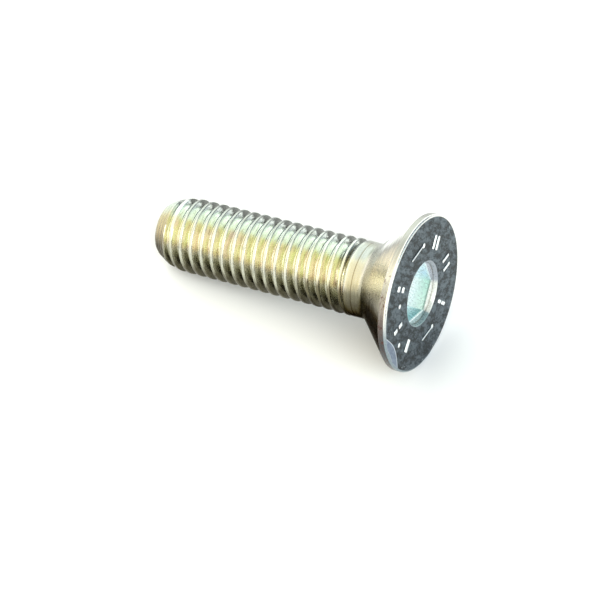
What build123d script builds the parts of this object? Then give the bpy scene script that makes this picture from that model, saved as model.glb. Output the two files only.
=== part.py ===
from build123d import *
from math import atan2, cos, radians, sin, tan
import os

# Countersunk screw with a socket for a hexagon key, M8 x 1.25, 30 mm long.
# It lies on its side on z = 0, with its axis in the XZ plane and its head toward +X.
# Distances along the axis are counted from the head's flat face toward the tip.

# Whole screw
screw_length = 30.0

# Head
head_radius = 8.2
head_edge_chamfer = 0.2
land_depth = 0.825
cone_half_angle = 45.0
neck_bevel = 0.45

# Thread
pitch = 1.25
crest_radius = 3.935
pitch_radius = 3.55
root_radius = 3.19
flank_angle = 30.0
groove_start_below_tip = 0.957
groove_sections = 3
turns_per_section = 6
runout_turns = 3
runout_end = 6.1
runout_clearance = 0.2

# Tip, turned down in two steps so that it starts easily in a nut
tip_lead_start = 26.9
tip_knee = 28.55
tip_knee_radius = 3.655
tip_radius = 2.8
tip_clearance = 1.0

# Hexagon socket, with a hexagonal shoulder in a round mouth
mouth_radius = 3.4
mouth_floor_radius = 3.12
shoulder_depth = 0.66
shoulder_slope = 26.0
socket_width = 5.4
socket_depth = 3.2
socket_draft = 2.0
socket_turn = 11.6
socket_point_radius = 2.4
socket_point_depth = 1.2
socket_point_angle = 60.0

# The screw rests on the back edge of the head's land and on a thread crest of the tip.
rest_crest_distance = 27.108
rest_crest_step = (rest_crest_distance - tip_lead_start) / (tip_knee - tip_lead_start)
rest_crest_radius = crest_radius - (crest_radius - tip_knee_radius) * rest_crest_step
rest_tilt = atan2(head_radius - rest_crest_radius, rest_crest_distance - land_depth)
face_height = land_depth * sin(rest_tilt) + head_radius * cos(rest_tilt)

# The middle between the tip's upper edge and the head's lowest edge lies over x = 0.
head_reach = (head_radius - head_edge_chamfer) * sin(rest_tilt)
tip_reach = screw_length * cos(rest_tilt) + tip_radius * sin(rest_tilt)
face_x = (tip_reach - head_reach) / 2

axis_direction = Vector(cos(rest_tilt), 0, sin(rest_tilt))
up_radial = Vector(-sin(rest_tilt), 0, cos(rest_tilt))
face_centre = Vector(face_x, 0, face_height)
screw_axis = Axis(face_centre, axis_direction)

# In the meridian plane x is the radius and y runs along the axis, toward the head.
meridian = Plane(origin=face_centre, x_dir=up_radial, z_dir=(0, 1, 0))
cone_end = land_depth + (head_radius - crest_radius) / tan(radians(cone_half_angle))
shoulder_plane = Plane(
    origin=face_centre - axis_direction * shoulder_depth,
    x_dir=up_radial,
    z_dir=axis_direction,
)

# Section of the thread groove: x runs outward from the root, y along the axis.
root_half_width = pitch / 4 - (pitch_radius - root_radius) * tan(radians(flank_angle))
groove_depth = crest_radius - root_radius + 0.1
groove_half_width = root_half_width + groove_depth * tan(radians(flank_angle))
groove_section = [
    (0, -root_half_width),
    (groove_depth, -groove_half_width),
    (groove_depth, groove_half_width),
    (0, root_half_width),
]
section_length = turns_per_section * pitch
groove_start = screw_length + groove_start_below_tip
runout_start = groove_start - groove_sections * section_length
runout_slope = (crest_radius - root_radius) / (runout_start - runout_end)

with BuildPart() as screw:
    # Blank: flat head with a narrow land, cone, neck corner and the length to be threaded
    with BuildSketch(meridian) as half_section:
        with BuildLine():
            Polyline(
                (0, 0),
                (head_radius, 0),
                (head_radius, -land_depth),
                (crest_radius, -cone_end),
                (crest_radius, -screw_length),
                (0, -screw_length),
                close=True,
            )
        make_face()
        corners = half_section.vertices()
        chamfer(corners.sort_by_distance((head_radius, 0))[0], length=head_edge_chamfer)
        chamfer(corners.sort_by_distance((crest_radius, -cone_end))[0], length=neck_bevel)
    revolve(axis=screw_axis)

    # Thread groove, cut from outside the tip up to the run-out
    for section in range(groove_sections):
        with BuildLine():
            groove_path = Helix(
                pitch=pitch,
                height=section_length,
                radius=root_radius,
                center=face_centre - axis_direction * (groove_start - section * section_length),
                direction=axis_direction,
            )
        with BuildSketch(
            Plane(origin=groove_path @ 0, x_dir=up_radial, z_dir=groove_path % 0)
        ):
            Polygon(*groove_section, align=None)
        sweep(is_frenet=True, mode=Mode.SUBTRACT)

    # Run-out, where the bottom of the groove climbs a cone to the shank's surface
    with BuildPart(mode=Mode.SUBTRACT):
        with BuildLine():
            runout_path = Helix(
                pitch=pitch,
                height=runout_turns * pitch,
                radius=root_radius,
                center=face_centre - axis_direction * runout_start,
                direction=axis_direction,
            )
        with BuildSketch(Plane(origin=runout_path @ 0, x_dir=up_radial, z_dir=runout_path % 0)):
            Polygon(*groove_section, align=None)
        sweep(is_frenet=True)
        with BuildSketch(meridian):
            with BuildLine():
                Polyline(
                    (0, -runout_start - pitch),
                    (root_radius - runout_slope * pitch, -runout_start - pitch),
                    (crest_radius + runout_clearance, -runout_end + runout_clearance / runout_slope),
                    (crest_radius + runout_clearance, -land_depth),
                    (0, -land_depth),
                    close=True,
                )
            make_face()
        revolve(axis=screw_axis, mode=Mode.SUBTRACT)

    # Tip, turned down across the first turns of the thread
    with BuildSketch(meridian):
        with BuildLine():
            Polyline(
                (crest_radius, -tip_lead_start),
                (tip_knee_radius, -tip_knee),
                (tip_radius, -screw_length),
                (tip_radius, -screw_length - tip_clearance),
                (crest_radius + tip_clearance, -screw_length - tip_clearance),
                (crest_radius + tip_clearance, -tip_lead_start),
                close=True,
            )
        make_face()
    revolve(axis=screw_axis, mode=Mode.SUBTRACT)

    # Mouth of the socket, where a round collar meets the sloping faces of the shoulder
    with BuildPart(mode=Mode.SUBTRACT):
        with BuildSketch(meridian):
            with BuildLine():
                Polyline(
                    (0, 0),
                    (mouth_radius, 0),
                    (mouth_floor_radius, -shoulder_depth),
                    (0, -shoulder_depth),
                    close=True,
                )
            make_face()
        revolve(axis=screw_axis)
        with BuildSketch(shoulder_plane):
            RegularPolygon(
                radius=socket_width / 2,
                side_count=6,
                major_radius=False,
                rotation=socket_turn,
            )
        extrude(amount=shoulder_depth, taper=shoulder_slope - 90, mode=Mode.INTERSECT)

    # Hexagon socket with a pointed bottom
    with BuildSketch(shoulder_plane):
        RegularPolygon(
            radius=socket_width / 2,
            side_count=6,
            major_radius=False,
            rotation=socket_turn,
        )
    extrude(amount=shoulder_depth - socket_depth, taper=socket_draft, mode=Mode.SUBTRACT)
    with BuildSketch(
        Plane(
            origin=face_centre - axis_direction * socket_depth,
            x_dir=up_radial,
            z_dir=axis_direction,
        )
    ):
        Circle(radius=socket_point_radius)
    extrude(amount=-socket_point_depth, taper=socket_point_angle, mode=Mode.SUBTRACT)

screw.part.label = "countersunk_socket_screw"

os.makedirs("parts", exist_ok=True)
export_step(screw.part, "parts/screw.step")
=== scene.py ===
import bpy
import bmesh
from math import atan2, cos, exp, hypot, pi, radians, sin, tan
from mathutils import Matrix, Vector


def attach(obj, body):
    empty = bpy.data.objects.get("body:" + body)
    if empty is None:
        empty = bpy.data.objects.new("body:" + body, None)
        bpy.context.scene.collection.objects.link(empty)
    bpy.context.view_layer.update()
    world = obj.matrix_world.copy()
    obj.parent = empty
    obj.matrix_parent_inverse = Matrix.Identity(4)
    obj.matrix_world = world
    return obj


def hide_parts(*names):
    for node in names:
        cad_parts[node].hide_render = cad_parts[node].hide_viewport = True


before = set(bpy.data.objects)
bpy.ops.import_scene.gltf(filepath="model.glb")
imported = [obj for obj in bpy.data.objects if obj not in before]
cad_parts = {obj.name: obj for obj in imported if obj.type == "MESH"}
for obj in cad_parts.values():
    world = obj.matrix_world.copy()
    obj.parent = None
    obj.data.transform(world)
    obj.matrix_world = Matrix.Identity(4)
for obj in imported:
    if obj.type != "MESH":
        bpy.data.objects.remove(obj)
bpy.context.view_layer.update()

# The threaded length: a coarse right-hand thread, rolled into the steel between two dies.
# The metal flows outwards into flat crests with rubbed corners, and the dies leave round roots.
# It is built with the screw's axis along X, the head's face at x = 0, in millimetres.
pitch = 1.25
crest_radius = 3.935
root_radius = 3.19
steps_per_turn = 96
thread_turns = 22
first_groove = -32.09
tip_end = -30.0
thread_end = -5.62

# half a pitch: the round root, the flank at 30 degrees and the rubbed corner of the crest
flank = tan(radians(30))
root_round = 0.1813
half_pitch_profile = []
for step in range(4):
    turn = radians(60) * step / 3
    half_pitch_profile.append(
        (root_round * sin(turn), root_radius + root_round * (1 - cos(turn)))
    )
flank_foot = (0.125, 3.2807)
for radius in (3.42, 3.55, 3.67, 3.77, 3.84):
    half_pitch_profile.append((flank_foot[0] + (radius - flank_foot[1]) * flank, radius))
half_pitch_profile += [
    (0.465, 3.880), (0.481, 3.908), (0.503, 3.926), (0.533, 3.934), (pitch / 2, crest_radius),
]
pitch_profile = half_pitch_profile + [
    (pitch - along, radius) for along, radius in reversed(half_pitch_profile[:-1])
]

thread = bmesh.new()
profile_verts = [
    thread.verts.new((first_groove + along, 0, radius)) for along, radius in pitch_profile
]
for near, far in zip(profile_verts, profile_verts[1:]):
    thread.edges.new((near, far))
bmesh.ops.spin(
    thread,
    geom=thread.verts[:] + thread.edges[:],
    cent=(0, 0, 0),
    axis=(1, 0, 0),
    dvec=(pitch / steps_per_turn, 0, 0),
    angle=2 * pi,
    steps=steps_per_turn,
)
first_turn = thread.verts[:] + thread.edges[:] + thread.faces[:]
for turn in range(1, thread_turns):
    copied = bmesh.ops.duplicate(thread, geom=first_turn)["geom"]
    copied_verts = [piece for piece in copied if isinstance(piece, bmesh.types.BMVert)]
    bmesh.ops.translate(thread, verts=copied_verts, vec=(turn * pitch, 0, 0))
bmesh.ops.remove_doubles(thread, verts=thread.verts, dist=0.0005)

# the tip is turned down in two steps, a slim lead and a blunt nose, that meet in a rubbed knee
lead_start = -26.9
knee_place, knee_radius = -28.55, 3.655
tip_radius = 2.8
knee_rub, knee_reach = 0.04, 0.35


def tip_limit(along):
    """The largest radius that the turned tip leaves at a place on the axis."""
    lead_slope = (crest_radius - knee_radius) / (lead_start - knee_place)
    nose_slope = (knee_radius - tip_radius) / (knee_place - tip_end)
    lead = crest_radius - (lead_start - along) * lead_slope
    nose = knee_radius - (knee_place - along) * nose_slope
    crest_band_share = knee_rub * max(1 - abs(lead - nose) / knee_reach, 0)
    return min(crest_radius, min(lead, nose) - crest_band_share)


# towards the head the groove's bottom climbs a cone to the shank's surface
runout_start, runout_slope = -8.457, 0.48
# where the dies let go they leave a low swell and fine rings: place, height and half width
die_rings = [(-8.1, 0.06, 1.1), (-6.24, -0.015, 0.06), (-5.86, -0.02, 0.06), (-6.6, 0.01, 0.16)]
# shearing the wire left fine rings on the nose
nose_ring_depth, nose_ring_spacing = 0.05, 0.42
for vert in thread.verts:
    radius = hypot(vert.co.y, vert.co.z)
    runout = root_radius + runout_slope * (vert.co.x - runout_start)
    wanted = min(max(radius, min(runout, crest_radius)), tip_limit(vert.co.x))
    on_crest = min(max((radius - 3.4) / 0.4, 0), 1)
    on_runout = min(max((runout - 3.6) / 0.3, 0), 1)
    for ring_place, ring_height, ring_width in die_rings:
        swell = exp(-(((vert.co.x - ring_place) / ring_width) ** 2))
        wanted += max(on_crest, on_runout) * ring_height * swell
    nose_share = min(max((-28.45 - vert.co.x) / 0.3, 0), 1)
    ring_wave = 1 + sin(2 * pi * (vert.co.x - tip_end) / nose_ring_spacing)
    wanted -= nose_ring_depth * nose_share * ring_wave
    vert.co.y *= wanted / radius
    vert.co.z *= wanted / radius

for place, side in ((tip_end + 0.06, -1), (thread_end, 1)):
    bmesh.ops.bisect_plane(
        thread,
        geom=thread.verts[:] + thread.edges[:] + thread.faces[:],
        dist=0.0001,
        plane_co=(place, 0, 0),
        plane_no=(side, 0, 0),
        clear_outer=True,
    )

# the sheared end of the wire, with its edge rubbed round
end_loop = [edge for edge in thread.edges if edge.is_boundary and edge.verts[0].co.x < -20]
for inward, outward in ((0.015, 0.04), (0.055, 0.02)):
    grown = bmesh.ops.extrude_edge_only(thread, edges=end_loop)["geom"]
    end_loop = [piece for piece in grown if isinstance(piece, bmesh.types.BMEdge)]
    for vert in [piece for piece in grown if isinstance(piece, bmesh.types.BMVert)]:
        radius = hypot(vert.co.y, vert.co.z)
        vert.co.x -= outward
        vert.co.y *= (radius - inward) / radius
        vert.co.z *= (radius - inward) / radius
bmesh.ops.edgeloop_fill(thread, edges=end_loop)

# The head: a forged cone with a narrow land round its rim, a flat face and a hexagon socket.
# The socket is punched while the head is forged: a round mouth, a sloping shoulder and flat walls.
# Each row of the profile becomes one ring of the head as it is spun round the axis.
neck_round = [
    (-5.504 + sin(radians(angle)), 4.935 - cos(radians(angle))) for angle in (0, 9, 18, 27, 36, 45)
]
cone_foot, cone_reach = (-4.797, 4.228), 3.898
cone_rows = [
    (cone_foot[0] + cone_reach * row / 10, cone_foot[1] + cone_reach * row / 10)
    for row in range(1, 11)
]
rim_radius = 8.194
edge_round = 0.2
rim_round = [
    (edge_round * (sin(radians(angle)) - 1), rim_radius - edge_round * (1 - cos(radians(angle))))
    for angle in (0, 22.5, 45, 67.5, 90)
]
face_rows = [(0, 7.9 - 0.2 * row) for row in range(1, 22)]
head_profile = (
    [(-5.56, crest_radius)]
    + neck_round
    + cone_rows
    + [(-0.868, 8.153), (-0.84, 8.177), (-0.8, 8.192), (-0.76, rim_radius), (-0.5, rim_radius)]
    + rim_round
    + face_rows
    + [(0, 3.5), (-0.006, 3.45), (-0.025, 3.415), (-0.06, 3.385), (-0.2, 3.315)]
)
# the hexagon, measured from its axis to a flat at the shoulder; its walls lean in by 2 degrees
socket_turn = radians(11.6)
socket_half_width = 2.7
wall_lean = tan(radians(2))
mouth_radius, mouth_slope = 3.4, 0.424
shoulder_depth = 0.66
shoulder_reach = 1 / tan(radians(26))
socket_rows = ["foot", "edge", shoulder_depth, 0.7, 1.2, 1.8, 2.5, 3.1, 3.2]
# the punch leaves a pointed bottom
point_rows = [(-3.2, 2.4), (-3.25, 2.33), (-3.8, 1.36), (-4.35, 0.42), (-4.4, 0.3)]

head = bmesh.new()
row_layer = head.verts.layers.int.new("row")
spun = []
placeholders = [(-0.5, 3.2 - 0.02 * row) for row in range(len(socket_rows))]
for row, (along, radius) in enumerate(head_profile + placeholders + point_rows):
    vert = head.verts.new((along, -radius * sin(socket_turn), radius * cos(socket_turn)))
    vert[row_layer] = row
    spun.append(vert)
for near, far in zip(spun, spun[1:]):
    head.edges.new((near, far))
bmesh.ops.spin(
    head,
    geom=head.verts[:] + head.edges[:],
    cent=(0, 0, 0),
    axis=(1, 0, 0),
    angle=2 * pi,
    steps=steps_per_turn,
    use_merge=True,
)
first_socket_row = len(head_profile)
for vert in head.verts:
    row = vert[row_layer] - first_socket_row
    if 0 <= row < len(socket_rows):
        turn = atan2(-vert.co.y, vert.co.z)
        share = cos((turn - socket_turn) % radians(60) - radians(30))
        # the foot of the round mouth lies where it meets the sloping faces of the shoulder
        foot = socket_half_width + shoulder_reach * shoulder_depth - mouth_radius * share
        foot /= shoulder_reach - mouth_slope * share
        if socket_rows[row] == "foot":
            depth, radius = foot, mouth_radius - mouth_slope * foot
        elif socket_rows[row] == "edge":
            depth = max(foot, 0.63)
            radius = min((socket_half_width + 0.06) / share, mouth_radius - mouth_slope * depth)
        else:
            depth = socket_rows[row]
            radius = (socket_half_width - wall_lean * (depth - shoulder_depth)) / share
        vert.co = (-depth, -radius * sin(turn), radius * cos(turn))
bottom_loop = [
    edge for edge in head.edges if edge.is_boundary and edge.verts[0].co.x < -4.3
    and hypot(edge.verts[0].co.y, edge.verts[0].co.z) < 1
]
bmesh.ops.edgeloop_fill(head, edges=bottom_loop)

# a knock flattened the face's edge on one side, inside a curve that bends outwards
knock_turn = 102.3
knock_radius, knock_curve = 6.9, 9.5
knock_slope = 0.12
for vert in head.verts:
    radius = hypot(vert.co.y, vert.co.z)
    angle = (atan2(-vert.co.y, vert.co.z) - radians(knock_turn) + pi) % (2 * pi) - pi
    beyond = radius - knock_radius - knock_curve * angle * angle
    if vert.co.x > -0.25 and beyond > 0:
        vert.co.x -= knock_slope * beyond

# one closed body of steel: the neck's first ring is bridged to the end of the thread
head_mesh = bpy.data.meshes.new("head")
head.to_mesh(head_mesh)
head.free()
thread.from_mesh(head_mesh)
bpy.data.meshes.remove(head_mesh)
open_ends = [edge for edge in thread.edges if edge.is_boundary]
bmesh.ops.bridge_loops(thread, edges=open_ends)
bmesh.ops.recalc_face_normals(thread, faces=thread.faces)

# Raised marks stand 0.1 mm proud of the face: plain bars and round dots, pressed up by the punch.
# Each is a low block of the same steel, with rounded edges, that grows out of the face.
mark_bars = [
    # radius of its middle, angle round the axis, length, width, turn from the radius
    (5.36, 46, 2.5, 0.2, 90),
    (5.25, -136.5, 2.3, 0.2, 90),
    (5.35, 4, 1.5, 0.4, -4),
    (5.35, -5, 1.5, 0.4, 5),
    (5.35, -40, 1.4, 0.36, -6),
    (5.35, -52, 1.4, 0.36, 6),
    (5.75, -94, 0.8, 0.4, 0),
    (4.7, -94, 0.7, 0.4, 0),
    (6.2, 91.5, 0.5, 0.62, 0),
    (5.15, 91.5, 0.5, 0.62, 0),
    (5.1, 135, 0.7, 0.5, 0),
    (6.15, 135, 0.7, 0.5, 0),
    (5.5, 173.5, 1.4, 0.6, 0),
]
mark_dots = [
    (6.2, 154, 0.3), (5.26, 110, 0.28), (5.8, -51, 0.2), (5.45, 31, 0.3), (5.36, -124, 0.28),
]
mark_height = 0.1
face_up = 47.71


def on_face(radius, angle):
    """A place on the face; the angle runs anticlockwise from the side that lies up and back."""
    turn = radians(angle - face_up)
    return Vector((0, -radius * sin(turn), radius * cos(turn)))


for middle, angle, length, width, lean in mark_bars:
    bar = bmesh.ops.create_cube(thread, size=1)["verts"]
    bmesh.ops.scale(thread, verts=bar, vec=(2 * mark_height, width, length))
    bar_edges = dict.fromkeys(edge for vert in bar for edge in vert.link_edges)
    top_edges = [
        edge for edge in bar_edges if sum(vert.co.x for vert in edge.verts) > -mark_height
    ]
    bevelled = bmesh.ops.bevel(
        thread,
        geom=top_edges,
        affect="EDGES",
        offset=0.08,
        segments=3,
        profile=0.5,
        material=-1,
    )
    bar = list(dict.fromkeys([vert for vert in bar if vert.is_valid] + bevelled["verts"]))
    turned = Matrix.Rotation(radians(angle - face_up + lean), 4, "X")
    placed = Matrix.Translation(on_face(middle, angle)) @ turned
    bmesh.ops.transform(thread, verts=bar, matrix=placed)
for middle, angle, size in mark_dots:
    dot = bmesh.ops.create_uvsphere(thread, u_segments=16, v_segments=8, radius=1)["verts"]
    bmesh.ops.scale(thread, verts=dot, vec=(mark_height, size, size))
    bmesh.ops.translate(thread, verts=dot, vec=on_face(middle, angle))

for edge in thread.edges:
    edge.smooth = edge.calc_face_angle(0) < radians(33)
for face in thread.faces:
    face.smooth = True

# the lying screw touches the table with the rim of its head and the end of its thread
rim_touch, tip_touch = (-0.825, 8.2), (-27.108, 3.8997)
rest_tilt = atan2(rim_touch[1] - tip_touch[1], rim_touch[0] - tip_touch[0])
axis_way = Vector((cos(rest_tilt), 0, sin(rest_tilt)))
up_way = Vector((-sin(rest_tilt), 0, cos(rest_tilt)))
face_centre = Vector((14.38335, 0, 8.22561))
lying = Matrix.Translation(face_centre) @ Matrix(
    (
        (axis_way.x, 0, up_way.x, 0),
        (axis_way.y, 1, up_way.y, 0),
        (axis_way.z, 0, up_way.z, 0),
        (0, 0, 0, 1),
    )
)
screw_mesh = bpy.data.meshes.new("screw")
thread.to_mesh(screw_mesh)
thread.free()
own_place = screw_mesh.attributes.new("screw_mm", "FLOAT_VECTOR", "POINT")
for vert in screw_mesh.vertices:
    own_place.data[vert.index].vector = vert.co
screw_mesh.transform(Matrix.Scale(0.001, 4) @ lying)
screw = bpy.data.objects.new("zinc_plated_screw", screw_mesh)
bpy.context.scene.collection.objects.link(screw)
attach(screw, "root")
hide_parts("screw")

# The finish: bright zinc plating on rolled steel under a chromate film far thinner than a hair.
# To the eye it shifts from colourless to straw yellow, pink and green, over soft reflections.
# Colours round the screw carry painted light and shade as well as the film's tints: painted
# highlights on the upper side and on the land's edge, painted shade on the underside and along the
# top edge, and the head's face is painted dark, a painted dark reflection.


def add_node(tree, kind, inputs=None, out=0, **settings):
    """Adds one node with its settings, and its inputs as values or links; gives one output."""
    made = tree.nodes.new(kind)
    for option, value in settings.items():
        setattr(made, option, value)
    for socket, value in (inputs or {}).items():
        if isinstance(value, bpy.types.NodeSocket):
            tree.links.new(value, made.inputs[socket])
        else:
            made.inputs[socket].default_value = value
    return made.outputs[out]


def linear(hex_colour):
    """An sRGB hex colour as Blender's linear one."""
    shares = [int(hex_colour[place:place + 2], 16) / 255 for place in (1, 3, 5)]
    return [s / 12.92 if s <= 0.04045 else ((s + 0.055) / 1.055) ** 2.4 for s in shares] + [1]


plating = bpy.data.materials.new("zinc_plated_steel_chromated")
plating.use_nodes = True
nodes = plating.node_tree
shader = nodes.nodes["Principled BSDF"]
MATH, RANGE, MIX = "ShaderNodeMath", "ShaderNodeMapRange", "ShaderNodeMix"
soft = {"interpolation_type": "SMOOTHSTEP"}
coloured = {"data_type": "RGBA", "out": 2}
NOISE, four = "ShaderNodeTexNoise", {"noise_dimensions": "4D"}

place = add_node(nodes, "ShaderNodeAttribute", attribute_name="screw_mm", out="Vector")
along = add_node(nodes, "ShaderNodeSeparateXYZ", {0: place})
across, upright = along.node.outputs[1], along.node.outputs[2]
radius_mm = add_node(
    nodes,
    "ShaderNodeVectorMath",
    {0: add_node(nodes, "ShaderNodeCombineXYZ", {1: across, 2: upright})},
    operation="LENGTH",
    out="Value",
)
down_across = add_node(nodes, MATH, {0: across, 1: -1.0}, operation="MULTIPLY")
turn = add_node(nodes, MATH, {0: down_across, 1: upright}, operation="ARCTAN2")

# the scales are patterns in a millimetre: real plating grain is a few thousandths of one, and is
# drawn 0.2 mm wide so that it shows; spots of wear are 0.5 mm and clouds in the film 3 mm wide
grain = add_node(nodes, NOISE, {"Vector": place, "W": 7.7, "Scale": 5.0, "Detail": 4.0}, **four)
spots = {"Vector": place, "W": 3.4, "Scale": 1.9, "Detail": 5.0, "Roughness": 0.72}
speckle = add_node(nodes, NOISE, spots, **four)
broad = add_node(nodes, NOISE, {"Vector": place, "W": 1.3, "Scale": 0.35, "Detail": 2.0}, **four)

# the face's mottling is 0.6 mm wide and twice as long in the direction of the wire cutter's stroke
drawn = add_node(
    nodes,
    "ShaderNodeVectorRotate",
    {"Vector": place, "Angle": radians(face_up)},
    rotation_type="X_AXIS",
)
drawn = add_node(nodes, "ShaderNodeVectorMath", {0: drawn, 1: (1, 0.5, 1)}, operation="MULTIPLY")
mottle = {"Vector": drawn, "W": 5.6, "Scale": 1.7, "Detail": 7.0, "Roughness": 0.78}
flecks = add_node(nodes, NOISE, mottle, **four)

# marks of the dies run round the thread: 0.2 mm along the axis and 1.2 mm round it
streak_place = add_node(
    nodes,
    "ShaderNodeCombineXYZ",
    {
        0: add_node(nodes, MATH, {0: along, 1: 6.0}, operation="MULTIPLY"),
        1: add_node(nodes, MATH, {0: radius_mm, 1: 6.0}, operation="MULTIPLY"),
        2: add_node(nodes, MATH, {0: turn, 1: 3.2}, operation="MULTIPLY"),
    },
)
die_marks = {"Vector": streak_place, "W": 2.2, "Scale": 1.0, "Detail": 3.0}
streaks = add_node(nodes, NOISE, die_marks, **four)
film_bands = {"Vector": streak_place, "W": 9.1, "Scale": 0.45, "Detail": 2.0}
film = add_node(nodes, NOISE, film_bands, **four)

# colours round the screw, at angles counted as on the face, with ragged edges: besides the film's
# tints they are painted light and shade, pale with painted highlights on the side that lies up and
# forward, and darkened with painted shade along the top edge and on the underside
round_share = add_node(nodes, RANGE, {0: turn, 1: -pi, 2: pi})
ragged = add_node(
    nodes,
    MATH,
    {0: add_node(nodes, MATH, {0: streaks, 1: -0.5}, operation="ADD"), 1: 0.06, 2: round_share},
    operation="MULTIPLY_ADD",
)
tints_and_painted_light = {}
for zone, round_way, colours in (
    (
        "groove",
        ragged,
        (
            (-130, "#66624f"), (-60, "#7c7c76"), (18, "#5e605c"), (25, "#ecf2ec"),
            (58, "#dadfd2"), (104, "#dddfd9"), (115, "#cdc9b9"), (130, "#98967f"),
            (150, "#55523f"), (226, "#524f40"),
        ),
    ),
    (
        "crest",
        ragged,
        (
            (-130, "#7a7666"), (-60, "#8c8f8a"), (10, "#5f625e"), (30, "#a8aaa6"),
            (58, "#b2b6ae"), (70, "#cdd0ca"), (105, "#cfcec5"), (132, "#b8b8a6"),
            (152, "#6a6656"), (226, "#7a7666"),
        ),
    ),
    (
        "neck",
        ragged,
        (
            (-130, "#4a4436"), (-60, "#8c8a84"), (30, "#98988f"), (45, "#84867f"), (66, "#bebcae"),
            (98, "#b8b29c"), (118, "#74705e"), (135, "#5a5648"), (226, "#4a4436"),
        ),
    ),
    (
        "cone",
        ragged,
        (
            (-130, "#4a483e"), (-60, "#c8c4b8"), (24, "#ffffff"), (46, "#f4f4f0"), (58, "#8a877f"),
            (75, "#f2e2c2"), (93, "#b2a894"), (101, "#c2baa6"), (112, "#68645a"), (150, "#3a3832"),
            (226, "#4a483e"),
        ),
    ),
    (
        "land",
        ragged,
        (
            (-130, "#787876"), (-90, "#8c8a86"), (0, "#787876"), (46, "#a8a6a1"), (60, "#94918c"),
            (84, "#cccbc6"), (96, "#9e9d99"), (118, "#706560"), (136, "#4e4e4f"), (226, "#787876"),
        ),
    ),
    (
        "nose",
        ragged,
        (
            (-130, "#4a4638"), (26, "#b4b8b4"), (50, "#b4b6a8"), (66, "#b5ad8e"), (102, "#a0957c"),
            (128, "#4c4638"), (226, "#4a4638"),
        ),
    ),
    # the socket is pale and matt, as from a deposit of the plating bath, and its walls and lip
    # carry painted light and shade: some walls painted lighter and some darker, the deep walls
    # nearly white
    (
        "shoulder",
        round_share,
        (
            (-130, "#8ea4a6"), (-122, "#8ea4a6"), (-119, "#e2e2dc"), (-66, "#e6e6e0"),
            (-58, "#9a9fa9"), (-2, "#a4a8b0"), (60, "#a4a8b0"), (178, "#98aaac"), (226, "#8ea4a6"),
        ),
    ),
    (
        "wall",
        round_share,
        (
            (-130, "#8cb4b8"), (-122, "#8cb4b8"), (-120, "#eefcf0"), (-62, "#c6e6d8"),
            (-60, "#d8f0f0"), (-40, "#c8e0f0"), (-2, "#f4fcff"), (0, "#c8d8da"), (178, "#c8d8da"),
            (181, "#9cc8cc"), (226, "#8cb8bc"),
        ),
    ),
    (
        "deep wall",
        round_share,
        (
            (-130, "#e8fafa"), (-122, "#e8fafa"), (-120, "#ffffff"), (-62, "#ffffff"),
            (-60, "#f0fcff"), (-2, "#f4fcff"), (0, "#e8f4f4"), (178, "#e8f4f4"), (181, "#d8f0f0"),
            (226, "#e8fafa"),
        ),
    ),
    (
        "lip",
        round_share,
        (
            (-130, "#f4fffc"), (-122, "#f4fffc"), (-119, "#8fa89c"), (-62, "#8fa89c"),
            (-58, "#ccdce2"), (-2, "#e4f0f4"), (178, "#e4f0f4"), (226, "#f4fffc"),
        ),
    ),
):
    tints_and_painted_light[zone] = add_node(nodes, "ShaderNodeValToRGB", {0: round_way})
    stops = tints_and_painted_light[zone].node.color_ramp.elements
    for angle, hex_colour in colours:
        stops.new((angle + 180 - face_up) / 360).color = linear(hex_colour)
    stops.remove(stops[0])
    stops.remove(stops[-1])

# in the grooves on the side that faces forward the film is straw yellow, peach, pink or nearly
# colourless
straw = add_node(
    nodes,
    MIX,
    {
        0: add_node(nodes, RANGE, {0: film, 1: 0.4, 2: 0.6}, **soft),
        6: linear("#fdfddc"),
        7: linear("#fff2e2"),
    },
    **coloured,
)
pink = add_node(
    nodes,
    MIX,
    {
        0: add_node(nodes, RANGE, {0: broad, 1: 0.56, 2: 0.74}, **soft),
        6: straw,
        7: linear("#fdeeef"),
    },
    **coloured,
)

# the land's edge carries a painted highlight round most of the screw and a grey painted shade on
# the underside
edge_highlight_and_shade = add_node(
    nodes,
    MIX,
    {
        0: add_node(nodes, RANGE, {0: ragged, 1: 0.67, 2: 0.74}, **soft),
        6: linear("#eeeeea"),
        7: linear("#8d9aa0"),
    },
    **coloured,
)

# the face is painted dark, a painted dark reflection, mottled in slate blue and grey; the knocked
# flat is painted lighter, a painted reflection of that tilted flat, with a painted highlight along
# its edge
mottling = add_node(nodes, RANGE, {0: flecks, 1: 0.44, 2: 0.58}, **soft)
face_mottle_and_dark_reflection = add_node(
    nodes, MIX, {0: mottling, 6: linear("#131c21"), 7: linear("#5a666e")}, **coloured
)
knock_lighter_reflection = add_node(
    nodes, MIX, {0: mottling, 6: linear("#727d8f"), 7: linear("#8793a4")}, **coloured
)
knock_share = (knock_turn + 180) / 360
knock_offset = add_node(nodes, MATH, {0: round_share, 1: -knock_share}, operation="ADD")
knock_square = add_node(nodes, MATH, {0: knock_offset, 1: knock_offset}, operation="MULTIPLY")
knock_reach = add_node(
    nodes,
    MATH,
    {0: knock_square, 1: -knock_curve * (2 * pi) ** 2, 2: radius_mm},
    operation="MULTIPLY_ADD",
)
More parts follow.
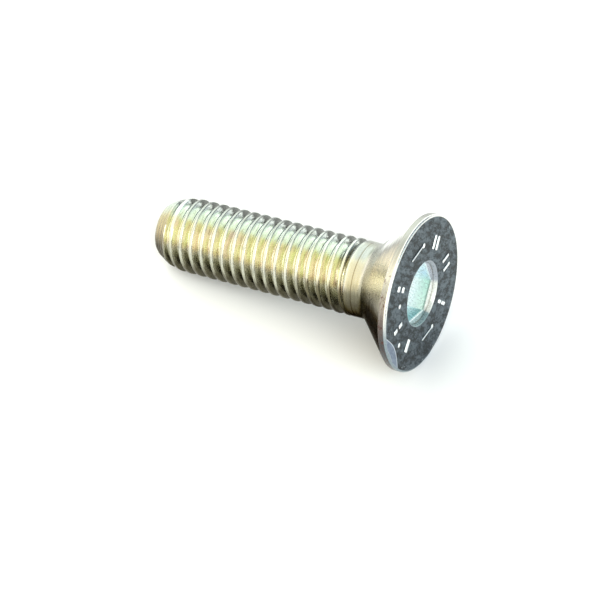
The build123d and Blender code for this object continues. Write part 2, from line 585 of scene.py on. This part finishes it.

# the coats, from the first to the last: each one's zone, the zone that it lies within, its soft
# edges as what they are measured in, where it is absent and where it is full, and its colour
# the crests' painted light and shade is full towards the tip and fades to 0.45 towards the head
crest_band_share = add_node(nodes, RANGE, {0: along, 1: -13.5, 2: -9.5, 3: 1.0, 4: 0.45}, **soft)
zones = {"screw": 1.0, "crest band reach": crest_band_share, "thin scuffs": 0.45}
tint = tints_and_painted_light["groove"]
for zone, within, edges, colour, blend in (
    ("film", "screw", ((ragged, 0.527, 0.56), (ragged, 0.71, 0.67)), pink, "MULTIPLY"),
    # the crests' band of painted highlight and painted shade
    ("crest", "crest band reach", ((radius_mm, 3.79, 3.9),), tints_and_painted_light["crest"], "MIX"),
    # painted shade: the crests near the head are darkened on the underside
    (
        "underside shade",
        "screw",
        ((along, -14.0, -11.0), (ragged, 0.665, 0.7), (radius_mm, 3.72, 3.9)),
        linear("#a29c8c"),
        "MULTIPLY",
    ),
    ("scuff", "thin scuffs", ((streaks, 0.54, 0.64),), linear("#b4b2a6"), "MULTIPLY"),
    # the bands laid on here, and for the cone and the land, are the film's tints with painted
    # light and shade round the screw
    ("nose", "screw", ((along, -28.3, -28.7),), tints_and_painted_light["nose"], "MIX"),
    ("neck", "screw", ((along, -7.2, -6.4),), tints_and_painted_light["neck"], "MIX"),
    # painted highlight on the upper side of the neck
    (
        "sheen",
        "neck",
        ((ragged, 0.445, 0.475), (ragged, 0.56, 0.52), (along, -5.4, -5.6)),
        linear("#acaeaa"),
        "MIX",
    ),
    (
        "die line",
        "screw",
        ((along, -7.56, -7.42), (along, -7.28, -7.42)),
        linear("#b8ae9c"),
        "MULTIPLY",
    ),
    (
        "last die line",
        "screw",
        ((along, -6.28, -6.18), (along, -6.08, -6.18)),
        linear("#b8ae9c"),
        "MULTIPLY",
    ),
    ("cone", "screw", ((radius_mm, 4.9, 5.7),), tints_and_painted_light["cone"], "MIX"),
    ("land", "screw", ((along, -0.87, -0.81),), tints_and_painted_light["land"], "MIX"),
    ("freckle", "land", ((speckle, 0.5, 0.62), (ragged, 0.57, 0.62)), linear("#5a3e38"), "MIX"),
    # the land's edge: painted highlight and painted shade
    ("edge", "screw", ((along, -0.3, -0.2),), edge_highlight_and_shade, "MIX"),
    # the face's mottling with its painted dark reflection, then the painted highlight on the
    # knock's outline and the knock's painted lighter reflection
    ("face", "screw", ((radius_mm, 8.02, 7.95), (along, -0.12, -0.1)), face_mottle_and_dark_reflection, "MIX"),
    ("worn rim", "face", ((speckle, 0.6, 0.68), (radius_mm, 7.3, 7.8)), linear("#c9d1d4"), "MIX"),
    ("knock's outline", "face", ((knock_reach, 6.88, 6.96),), linear("#e4eaf2"), "MIX"),
    ("knock", "face", ((knock_reach, 6.94, 7.04),), knock_lighter_reflection, "MIX"),
    # painted glints: the tops of the marks are painted near white
    ("mark", "screw", ((along, 0.03, 0.06),), linear("#fbfdfd"), "MIX"),
    # the socket's coats: its pale deposit, with painted light and shade on its walls and lip
    ("socket", "screw", ((radius_mm, 3.47, 3.42), (along, -4.55, -4.5)), tints_and_painted_light["shoulder"], "MIX"),
    ("wall", "socket", ((along, -0.66, -0.7),), tints_and_painted_light["wall"], "MIX"),
    ("deep wall", "wall", ((along, -0.9, -2.6),), tints_and_painted_light["deep wall"], "MIX"),
    ("lip", "socket", ((along, -0.6, -0.65), (along, -0.85, -0.7)), tints_and_painted_light["lip"], "MIX"),
    # painted shade: a darker ring on the socket's mouth
    (
        "crease",
        "socket",
        ((along, -0.34, -0.4), (along, -0.5, -0.43)),
        linear("#c4c0ba"),
        "MULTIPLY",
    ),
):
    share = zones[within]
    for measure, absent, full in edges:
        edge = add_node(nodes, RANGE, {0: measure, 1: absent, 2: full}, **soft)
        share = add_node(nodes, MATH, {0: edge, 1: share}, operation="MULTIPLY")
    zones[zone] = share
    tint = add_node(nodes, MIX, {0: share, 6: tint, 7: colour}, blend_type=blend, **coloured)
nodes.links.new(tint, shader.inputs["Base Color"])
metal = add_node(nodes, RANGE, {0: zones["socket"], 3: 1.0, 4: 0.3})
nodes.links.new(metal, shader.inputs["Metallic"])

# under the head, on the underside, the shine is dimmed at glancing angles: painted shade
shaded_underside_of_head = 1.0
for measure, absent, full in ((ragged, 0.65, 0.7), (along, -0.81, -0.9), (along, -8.0, -6.4)):
    edge = add_node(nodes, RANGE, {0: measure, 1: absent, 2: full}, **soft)
    shaded_underside_of_head = add_node(nodes, MATH, {0: edge, 1: shaded_underside_of_head}, operation="MULTIPLY")
glance = add_node(
    nodes, MIX, {0: shaded_underside_of_head, 6: linear("#ffffff"), 7: linear("#6a6052")}, **coloured
)
nodes.links.new(glance, shader.inputs["Specular Tint"])

# the plating is satin, duller on the face, with a relief of a fiftieth of a millimetre
rough = add_node(nodes, RANGE, {0: grain, 1: 0.3, 2: 0.7, 3: 0.22, 4: 0.34})
rough = add_node(nodes, MATH, {0: zones["face"], 1: 0.1, 2: rough}, operation="MULTIPLY_ADD")
nodes.links.new(rough, shader.inputs["Roughness"])

relief = add_node(nodes, MATH, {0: grain, 1: 0.3, 2: streaks}, operation="MULTIPLY_ADD")
relief_depth = 0.00002
strength = add_node(nodes, RANGE, {0: zones["socket"], 3: 0.3, 4: 0.05})
bump = add_node(
    nodes, "ShaderNodeBump", {"Strength": strength, "Distance": relief_depth, "Height": relief}
)
nodes.links.new(bump, shader.inputs["Normal"])
screw_mesh.materials.append(plating)

# The table: a broad sheet of plain white paper, uncoated, so its fibres leave it matt.
# It lies flat under the screw and takes its shadow.
paper_mesh = bpy.data.meshes.new("paper")
paper_build = bmesh.new()
bmesh.ops.create_grid(paper_build, x_segments=1, y_segments=1, size=3.0)
paper_build.to_mesh(paper_mesh)
paper_build.free()
paper_sheet = bpy.data.objects.new("paper_sheet", paper_mesh)
bpy.context.scene.collection.objects.link(paper_sheet)
paper = bpy.data.materials.new("matt_white_paper")
paper.use_nodes = True
paper_shader = paper.node_tree.nodes["Principled BSDF"]
paper_shader.inputs["Base Color"].default_value = linear("#f6f6fb")
paper_shader.inputs["Roughness"].default_value = 0.9
paper_shader.inputs["Specular IOR Level"].default_value = 0.2
paper_mesh.materials.append(paper)

# The light: an arched soft box over the screw, square to its axis, and a low one by its tip.
# The arch is cool where it rises behind the screw and warm where it comes down in front.
# Two boxes stand on the head's side: a low one, and a small bright one that looks into the socket.
studio = bpy.data.worlds.new("studio")
bpy.context.scene.world = studio
studio.use_nodes = True
sky = studio.node_tree
ray = add_node(sky, "ShaderNodeTexCoord", out="Generated")
height = add_node(sky, "ShaderNodeSeparateXYZ", {0: ray}, out=2)
front_way = Vector((-0.1194, -0.6729, 0.7300))
back_way = axis_way.cross(front_way)
if back_way.z < 0:
    back_way.negate()
ways = {}
for name, way in (
    ("head", axis_way),
    ("front", front_way),
    ("back", back_way),
    ("side", (0.94, 0.342, 0)),
    ("socket", (0.66, -0.444, 0.603)),
):
    ways[name] = add_node(
        sky, "ShaderNodeVectorMath", {0: ray, 1: tuple(way)}, operation="DOT_PRODUCT", out="Value"
    )
ways["height"] = height
ways["round"] = add_node(sky, MATH, {0: ways["back"], 1: ways["front"]}, operation="ARCTAN2")

# each light: its colour, its strength, and the soft edges that bound it, from dark to bright;
# first the room itself and its pale horizon, then the boxes
light = linear("#4b4d69")[:3]
for hex_colour, strength, edges in (
    ("#f4f4f6", 0.3, (("height", 0.2, 0.04),)),
    (
        "#f5fff2",
        2.1,
        (
            ("round", 0.61, 1.13),
            ("round", 2.5, 2.2),
            ("head", -0.8, -0.62),
            ("head", 0.0, -0.16),
        ),
    ),
    (
        "#fffadc",
        1.75,
        (
            ("round", -0.98, -0.7),
            ("round", 1.13, 0.61),
            ("head", -0.8, -0.62),
            ("head", 0.42, 0.24),
        ),
    ),
    ("#fffdf6", 2.0, (("head", -0.6, -0.75), ("height", 0.03, 0.1), ("height", 0.6, 0.45))),
    ("#e6fffc", 1.2, (("side", 0.62, 0.75), ("height", 0.12, 0.26), ("height", 0.8, 0.6))),
    ("#f6fffb", 5.0, (("socket", 0.91, 0.95),)),
):
    share = strength
    for name, dark, bright in edges:
        edge = add_node(sky, RANGE, {0: ways[name], 1: dark, 2: bright}, **soft)
        share = add_node(sky, MATH, {0: edge, 1: share}, operation="MULTIPLY")
    glow = add_node(
        sky, "ShaderNodeVectorMath", {0: linear(hex_colour)[:3], "Scale": share}, operation="SCALE"
    )
    light = add_node(sky, "ShaderNodeVectorMath", {0: light, 1: glow}, operation="ADD")
sky.links.new(light, sky.nodes["Background"].inputs["Color"])

# The camera: a long lens on a stand, above and in front of the screw, turned down to its middle.
# It is far enough away that the screw keeps its proportions.
camera_data = bpy.data.cameras.new("camera")
camera_data.lens = 156.136
camera_data.sensor_width = 36
camera_data.clip_start = 0.01
camera_data.clip_end = 20
camera = bpy.data.objects.new("camera", camera_data)
camera.location = (0.08561094, -0.16281927, 0.20126217)
camera.rotation_euler = (radians(42.427866), 0, radians(27.612613))
bpy.context.scene.collection.objects.link(camera)
bpy.context.scene.camera = camera
bpy.context.scene.view_settings.view_transform = "Standard"
